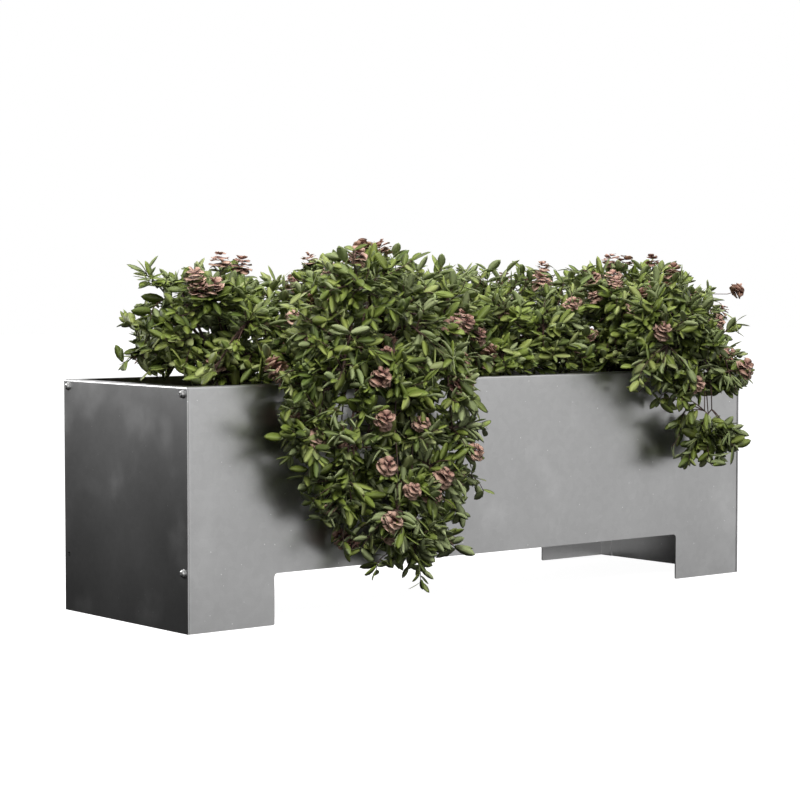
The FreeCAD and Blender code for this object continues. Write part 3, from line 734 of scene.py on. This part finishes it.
# paleFloor: a flat square at ground height that glows, left out of reflections and bounced light
def paleFloor():
    f = newFinish("paleFloor")
    tone, half = floorShape["tone"], floorShape["size"] / 2
    f.surface(Base_Color=(tone, tone, tone, 1), Roughness=0.9, Emission_Color=(1, 1, 1, 1),
              Emission_Strength=floorShape["glow"])
    mesh = bpy.data.meshes.new("floor")
    mesh.from_pydata([(-half, -half, 0), (half, -half, 0), (half, half, 0), (-half, half, 0)], [], [(0, 1, 2, 3)])
    mesh.materials.append(f.owner)
    floor = bpy.data.objects.new("floor", mesh)
    bpy.context.scene.collection.objects.link(floor)
    floor.visible_glossy = floor.visible_diffuse = False


# studioWorld: a soft light all round, brightest in front, dimmer to the right, behind and from below, and dark
# to the left. Soft is its share in diffuse light; it is plain white where nothing stands
skyLight = {"front": 1.38, "right": 0.85, "back": 0.85, "left": 0.04, "above": 0.85, "below": 0.12, "soft": 0.5}


def studioWorld():
    world = bpy.data.worlds.new("studioWorld")
    bpy.context.scene.world = world
    f = Finish(world)
    way = f.node("ShaderNodeTexCoord", out="Generated")
    x, y, z = f.split(way)
    frontal = f.step(y * -1, -0.2, 0.9)
    level = frontal * (skyLight["front"] - skyLight["back"]) + skyLight["back"]
    turned = f.step(x, 0.45, 0.85) * frontal
    level = level * (1 - turned) + turned * skyLight["right"]
    shade = f.step(x * -1, -0.3, 0.35) * (1 - frontal)
    level = level * (1 - shade) + shade * skyLight["left"]
    level = level * (f.step(z, -0.3, 0.1) * (1 - skyLight["below"]) + skyLight["below"])
    high = f.step(z, 0.25, 0.9)
    level = level * (1 - high) + high * skyLight["above"]
    lit, soft, seen = [f.node("ShaderNodeBackground", sockets={"Color": (1, 1, 1, 1), "Strength": strength})
                       for strength in (level, level * skyLight["soft"], 1.0)]
    straight, glossy = [f.node("ShaderNodeLightPath", out=ray) for ray in ("Is Camera Ray", "Is Glossy Ray")]
    both = f.node("ShaderNodeMixShader", sockets={0: glossy, 1: soft, 2: lit})
    both = f.node("ShaderNodeMixShader", sockets={0: straight, 1: both, 2: seen})
    f.node("ShaderNodeOutputWorld", sockets={"Surface": both})


# Square lights aimed at the box. Only the one with inSheen is seen in reflections
softLights = {
    "keyLight": {"at": (-1.6, -2.4, 2.9), "size": 1.6, "power": 168},
    "topLight": {"at": (0.6, 0.3, 3.2), "size": 2.0, "power": 116},
    "leftLight": {"at": (-1.8, 1.5, 1.25), "size": 1.2, "power": 24, "inSheen": True},
}


lightTarget = np.array([0, 0, 0.4])


def addLights():
    for name, light in softLights.items():
        lamp = bpy.data.lights.new(name, "AREA")
        lamp.shape, lamp.size, lamp.energy = "SQUARE", light["size"], light["power"]
        made = bpy.data.objects.new(name, lamp)
        made.location = light["at"]
        aim = lightTarget - np.array(light["at"])
        flat = math.hypot(aim[0], aim[1])
        made.rotation_euler = (math.atan2(flat, -aim[2]), 0, math.atan2(-aim[0], aim[1]))
        made.visible_glossy = light.get("inSheen", False)
        made.visible_camera = False
        bpy.context.scene.collection.objects.link(made)


# the camera's place, its turn to the right and its tilt down in degrees, and its lens and sensor in mm
view = {"at": (-3.199, -3.8627, 0.6683), "turn": 39.10, "down": 2.98, "lens": 105.74, "sensor": 36.0}


def addCamera():
    lens = bpy.data.cameras.new("mainCamera")
    lens.lens, lens.sensor_width, lens.clip_end = view["lens"], view["sensor"], 200.0
    made = bpy.data.objects.new("mainCamera", lens)
    made.location = view["at"]
    made.rotation_euler = (math.radians(90 - view["down"]), 0, math.radians(-view["turn"]))
    bpy.context.scene.collection.objects.link(made)
    bpy.context.scene.camera = made


paleFloor()
studioWorld()
addLights()
addCamera()
bpy.context.scene.view_settings.view_transform = "Standard"
print("stage set")
